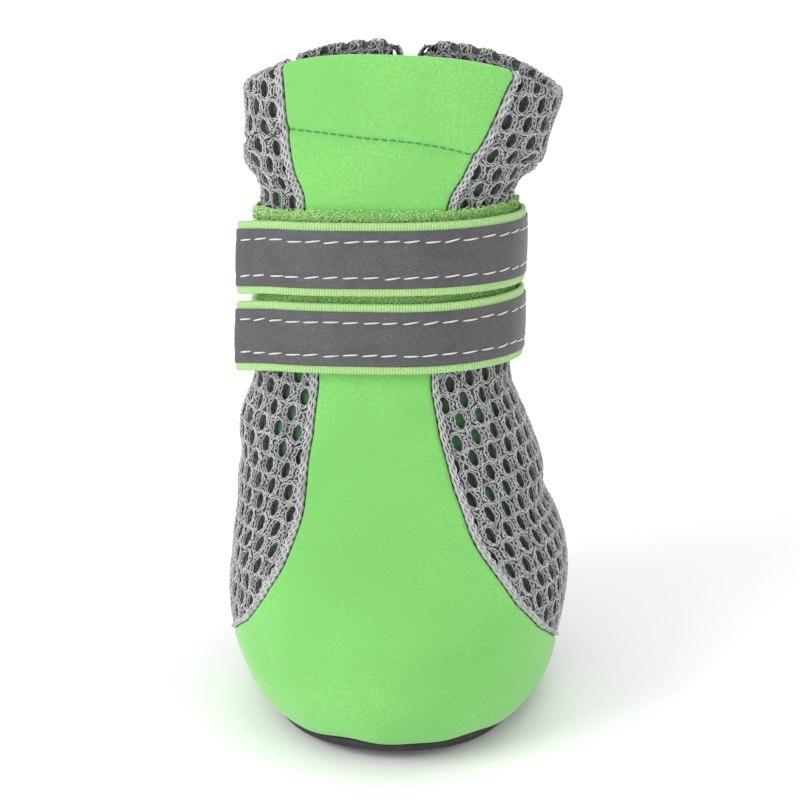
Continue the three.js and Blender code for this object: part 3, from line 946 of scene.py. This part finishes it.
def strap(name, low, high, sway, rise):
    """A green hook-backed tape with a reflective strip sewn to its face by two thread rows."""
    band = Band(STRAP_SPAN, STRAP_STANDOFF, STRAP_SPRING, STRAP_DROOP, sway, rise)
    tape = rounded_section(low, high, 0.0, 1.15, 0.5, 0.05, 22)
    tape_body(f"{name}_tape", band, tape, 0.6, TAPE, (name,))
    rows = (low + STRIP_INSET + STITCH_INSET, high - STRIP_INSET - STITCH_INSET)
    holes = np.arange(STITCH_START, band.length - 0.6, STITCH_PITCH)

    def dent(a, s):
        nearest = np.abs((a - STITCH_START + STITCH_PITCH / 2) % STITCH_PITCH - STITCH_PITCH / 2)
        sunk = np.zeros(a.shape)
        for row in rows:
            sunk += np.exp(-(((s - row) / 0.55) ** 2)) * (0.1 + 0.14 * np.exp(-((nearest / 0.6) ** 2)))
        return sunk

    strip = rounded_section(low + STRIP_INSET, high - STRIP_INSET, 1.1, 1.5, 0.15, 0.14, 34)
    tape_body(f"{name}_strip", band, strip, 0.55, STRIP, dent=dent, first=0.12)
    parts = []
    for row in rows:
        middles = holes + STITCH_PITCH / 2 + RNG.normal(0, 0.12, len(holes))
        middles = middles[middles < band.length - 1.5]
        across = row + RNG.normal(0, 0.09, len(middles))
        slant = RNG.normal(STITCH_SLANT, 0.12, (len(middles), 1))
        paths = stitch_paths(middles, across, STITCH_LENGTH, slant, 1.6, 1.28)
        taper = 0.18 * np.array([0.45, 0.8, 1, 1, 0.8, 0.45])
        points, faces = tube_parts(paths, taper, 6, flat=0.85)
        parts.append((band.world(points), faces))
    for edge in (0.9, 2.0):
        across = np.arange(low + 2.2, high - 1.6, 1.5)
        paths = stitch_paths(across, np.full(len(across), band.length - edge), 1.15, 0.1, 1.62, 1.3)
        points, faces = tube_parts(paths[..., (1, 0, 2)], 0.2, 6)
        parts.append((band.world(points), faces))
    make_piece(f"{name}_stitches", parts, WHITE_THREAD)


def pile_fibres(band, regions):
    """Many short curled fibres over regions of a band: (from, to, low, high, fibres per mm2)."""
    parts = []
    for first, last, low, high, density in regions:
        count = int((last - first) * (high - low) * density)
        spans = ((first, last), (low, high), (0, 2 * math.pi), (0.15, 0.55), (0.55, 1.0))
        a, s, heading, reach, tall = (RNG.uniform(*span, (count, 1)) for span in spans)
        t = np.linspace(0, 1, 4)
        sweep = np.sin(t * 2.4) * reach
        height = 0.3 + tall * np.sin(t * 2.0)
        paths = np.stack([a + sweep * np.cos(heading), s + sweep * np.sin(heading), height], -1)
        taper = np.array([0.12, 0.11, 0.09, 0.05]) * RNG.uniform(0.8, 1.3, (count, 1))
        points, faces = tube_parts(paths, taper, 3)
        parts.append((band.world(points), faces))
    return parts


def loop_band(name, low, high, open_low, open_high):
    """Pile tape: bare behind the straps' free ends, and where it shows past the strap's edges."""
    band = Band(LOOP_SPAN, LOOP_STANDOFF, 0.0, 0.0, 0.0, LOOP_RISE)
    tape = rounded_section(low, high, 0.0, 0.55, 0.25, 0.0, 16)
    tape_body(f"{name}_base", band, tape, 0.9, TAPE, (name,))
    free_end, sewn_end = np.interp(BARE_SPAN, band.degrees, band.arc)
    regions = (
        (0.3, free_end, low + 0.3, high - 0.3, PILE_SPARSE),
        (sewn_end, band.length - 0.3, low, high, PILE_SPARSE),
        (free_end - 1, sewn_end, open_low, open_high, PILE_DENSE),
    )
    make_piece(f"{name}_pile", pile_fibres(band, regions), PILE)


# ---- sole
# front and back edges of the tread bars along Y
TREAD_BARS = ((-24, -17.5), (-15, -8.5), (-6, 0.5), (12, 18.5), (21, 27.5))
TREAD_INSET = 3.5
KNURL = 1.5
KNURL_DEPTH = 0.28
SOLE_RADIUS = 31.0  # about, for the knurling round the edge
# The edge's rings: how far out, and how high over the tread.
SOLE_PROFILE = ((-0.75, 0.0), (-0.3, 0.2), (0.0, 0.5), (0.12, 0.9), (0.15, 1.3), (0.12, 1.7), (0.0, 2.0),
                (-0.3, 2.25), (-0.9, 2.4), (-1.6, 2.2))
# The insole's rings: share of its outline, and height.
INSOLE_PROFILE = ((0.05, 0.0), (0.5, 0.0), (0.97, 0.0), (1.0, 0.5), (1.0, 1.3), (0.97, 1.8), (0.8, 1.95),
                  (0.5, 2.05), (0.2, 2.1), (0.02, 2.1))
INSOLE_MARGIN = -2.4
INSOLE_GAP = 0.3


def knurl(a, b):
    wave = np.cos(math.pi * (a + b) / KNURL) * np.cos(math.pi * (a - b) / KNURL)
    return KNURL_DEPTH * np.clip(wave, -0.1, 1)


def sole_outline(angle, grow, share=1):
    edge = ring_point(section_at(0.0), angle, grow) * share
    return edge[:, 0], edge[:, 1]


def tread_height(x, y):
    """How far the tread's face lies above the floor, or above the toe spring's curve."""
    section = section_at(0.0)
    depth = np.where(y < 0, section[FRONT], section[BACK])
    share = np.clip(1 - np.abs(y / depth) ** section[SQUARE], 0, 1)
    inside = section[HALF] * share ** (1 / section[SQUARE]) - TREAD_INSET - np.abs(x - section[X])
    bar = np.zeros(x.shape)
    for front, back in TREAD_BARS:
        rise, fall = (smooth(y, end - 0.25, end + 0.25) for end in (front, back))
        bar = np.maximum(bar, rise * (1 - fall))
    return TREAD_DEPTH * (1 - bar * smooth(inside, -0.3, 0.3))


def outsole():
    columns = 400
    angle = whole_turn(columns)
    loops = []
    around = angle * SOLE_RADIUS
    for share in np.linspace(0.02, 0.965, 52):
        x, y = sole_outline(angle, SOLE_MARGIN, share)
        face = tread_height(x, y)
        grip = knurl(x, y) * smooth(face, 0.2, 0.6)
        loops.append(np.stack([x, y, face - grip + sole_rise(y)], -1))
    for grow, height in SOLE_PROFILE:
        x, y = sole_outline(angle, SOLE_MARGIN + grow)
        bump = knurl(around, np.full(columns, height * 1.1))
        bump = bump * smooth(height, 0.1, 0.6) * (1 - smooth(height, 1.9, 2.3))
        out_x, out_y = sole_outline(angle, SOLE_MARGIN + grow + bump)
        loops.append(np.stack([out_x, out_y, TREAD_DEPTH + height + sole_rise(y)], -1))
    for share in np.linspace(0.92, 0.02, 4):
        x, y = sole_outline(angle, SOLE_MARGIN + SOLE_PROFILE[-1][0], share)
        loops.append(np.stack([x, y, TREAD_DEPTH + SOLE_THICKNESS + sole_rise(y)], -1))
    faces = capped_faces(len(loops), columns)
    make_piece("sole", [(np.array(loops) + SHIFT, faces)], RUBBER, ("outsole",))


def insole():
    columns = 120
    angle = whole_turn(columns)
    bottom = TREAD_DEPTH + SOLE_THICKNESS + INSOLE_GAP
    loops = []
    for share, height in INSOLE_PROFILE:
        x, y = sole_outline(angle, INSOLE_MARGIN, share)
        loops.append(np.stack([x, y, bottom + height + sole_rise(y)], -1))
    faces = capped_faces(len(loops), columns)
    make_piece("insole_pad", [(np.array(loops) + SHIFT, faces)], LINING, ("insole",))


# ---- back seam and slit edges
TAPE_HALF = 1.7 / 26  # the seam tape's half width, in radians at the heel
TAPE_HEIGHT = 0.45
TAPE_GROOVE = 0.35
SLIT_TUBE = (0.6, 1.05)  # the turned edge's radius across and out
SLIT_TUBE_END = 0.09  # places past the rim


def back_seam():
    """The narrow seam tape up the heel, and the turned edges of the slit above it."""
    places = np.linspace(0.1, SLIT_FOOT_PLACE + 0.15, 200)[:, None]
    across = np.linspace(-1, 1, 13)
    angle = math.pi / 2 + across * TAPE_HALF
    height = TAPE_HEIGHT * np.sqrt(np.clip(1 - across**2, 0, 1)) - 0.15 + 0.06 * np.sin(places * 34)
    height = height - TAPE_GROOVE * np.exp(-((across / 0.12) ** 2))
    parts = [(cloth(places, angle, height), grid_faces(*height.shape))]
    along = np.linspace(SLIT_FOOT_PLACE - 0.05, LAST + SLIT_TUBE_END - 0.01, 130)[:, None]
    taper = np.clip((LAST + SLIT_TUBE_END - along) / 0.3, 0.01, 1) ** 0.5
    over = np.maximum(along - LAST, 0) * COLLAR_PLACE
    flat = below_rim(np.minimum(along, LAST), over)
    turn = whole_turn(12)
    half = np.maximum(slit_half(flat), 0.4) + 0.45 + SLIT_TUBE[0] * taper * np.cos(turn)
    sweep = half / ring_speed(flat, math.pi / 2)
    out = (SLIT_TUBE[1] * taper + 0.05 * np.sin(along * 60)) * np.sin(turn) - RIM_ROLL
    for side in SIDES.values():
        points = cloth(np.minimum(along, LAST), side.angle(sweep), out, over)
        parts.append((points, grid_faces(*out.shape, wrap=True, flip=side.sign > 0)))
    make_piece("back_seam", parts, HEM)


# ---- stage
# The light tent's walls dim towards its open side, where the viewer stands: how far round that
# starts and ends, and the light before and after it.
TENT_RANGE = (0.3, 0.95, 0.92, 0.34)
TENT_OPENING = (0.1, -0.9, 0.42)  # where the open side faces
FLOOR_COLOR = (0.93, 0.93, 0.93)
FLOOR_HALF = 3  # metres
# name, watts, place and size in metres
AREA_LIGHTS = (
    ("key", 7, (-0.8, -0.5, 0.7), 0.6),
    ("fill", 3, (0.9, -0.4, 0.5), 0.8),
    ("low_front", 3, (-0.4, -1.1, 0.2), 0.5),
)
LIGHTS_AIM = 0.07  # metres up, at the boot's middle
SUN_POWER = 0.6
SUN_TOWARDS = (-0.15, -0.35, -1.0)
SUN_SPREAD = 40


def stage():
    """A pale floor in a light tent."""
    floor_mesh = bpy.data.meshes.new("floor")
    corners = [(x * FLOOR_HALF, y * FLOOR_HALF, 0) for x, y in ((-1, -1), (1, -1), (1, 1), (-1, 1))]
    floor_mesh.from_pydata(corners, [], [(0, 1, 2, 3)])
    floor_mesh.materials.append(painted("floor_paint", FLOOR_COLOR, 0.9))
    floor = new_object("floor", floor_mesh)
    world = bpy.data.worlds.new("studio")
    world.use_nodes = True
    nodes, links = world.node_tree.nodes, world.node_tree.links
    facing = nodes.new("ShaderNodeVectorMath")
    facing.operation = "DOT_PRODUCT"
    links.new(nodes.new("ShaderNodeTexCoord").outputs["Generated"], facing.inputs[0])
    facing.inputs[1].default_value = TENT_OPENING
    dimmer = nodes.new("ShaderNodeMapRange")
    for socket, value in zip(("From Min", "From Max", "To Min", "To Max"), TENT_RANGE):
        dimmer.inputs[socket].default_value = value
    links.new(facing.outputs["Value"], dimmer.inputs["Value"])
    links.new(dimmer.outputs["Result"], nodes["Background"].inputs["Strength"])
    nodes["Background"].inputs["Color"].default_value = (1, 1, 1, 1)
    bpy.context.scene.world = world
    bpy.context.scene.view_settings.view_transform = "Standard"


def aimed(name, data, place, towards):
    """An object at a place with its -Z axis turned that way."""
    item = new_object(name, data)
    item.location = place
    item.rotation_euler = Vector(towards).to_track_quat("-Z", "Y").to_euler()
    return item


def light(name, kind, power, place, towards):
    data = bpy.data.lights.new(name, kind)
    data.energy = power
    aimed(name, data, place, towards)
    return data


CAMERA_AZIMUTH = 5.0
CAMERA_ELEVATION = 28.0
CAMERA_DISTANCE = 1.5
AIM_BELOW_MIDDLE = 0.005
APPARENT_HEIGHT = 0.1405  # the boot's, in metres, as this camera sees it
FRAME_FILL = 0.875  # the share of the picture that it takes up
SENSOR = 36


def camera():
    low, high = cad_bounds
    middle = (Vector(low) + Vector(high)) / 2 - Vector((0, 0, AIM_BELOW_MIDDLE))
    azimuth, elevation = math.radians(CAMERA_AZIMUTH), math.radians(CAMERA_ELEVATION)
    back = Vector((math.sin(azimuth) * math.cos(elevation), -math.cos(azimuth) * math.cos(elevation),
                   math.sin(elevation)))
    data = bpy.data.cameras.new("camera")
    data.sensor_width = SENSOR
    data.lens = SENSOR * CAMERA_DISTANCE * FRAME_FILL / APPARENT_HEIGHT
    data.clip_end = 20
    bpy.context.scene.camera = aimed("camera", data, middle + back * CAMERA_DISTANCE, -back)


camera()
stage()
for label, power, place, size in AREA_LIGHTS:
    light(label, "AREA", power, place, Vector((0, 0, LIGHTS_AIM)) - Vector(place)).size = size
light("overhead", "SUN", SUN_POWER, (0, 0, 0), SUN_TOWARDS).angle = math.radians(SUN_SPREAD)

outsole()
insole()
# the dark backing sheet under the mesh is painted shade inside its holes
shell("mesh_backing_painted_shade", -1.2, -1.5, BACKING_PAINTED_SHADE, ("upper",))
shell("lining", -1.55, -1.95, LINING)
front_panel()
hem_stitches()
for label, side in SIDES.items():
    spacer_mesh(label, side)
    seam_yarns(label, side)
back_seam()
for label, measures in LOOP_BANDS.items():
    loop_band(label, *measures)
for label, measures in STRAPS.items():
    strap(label, *measures)
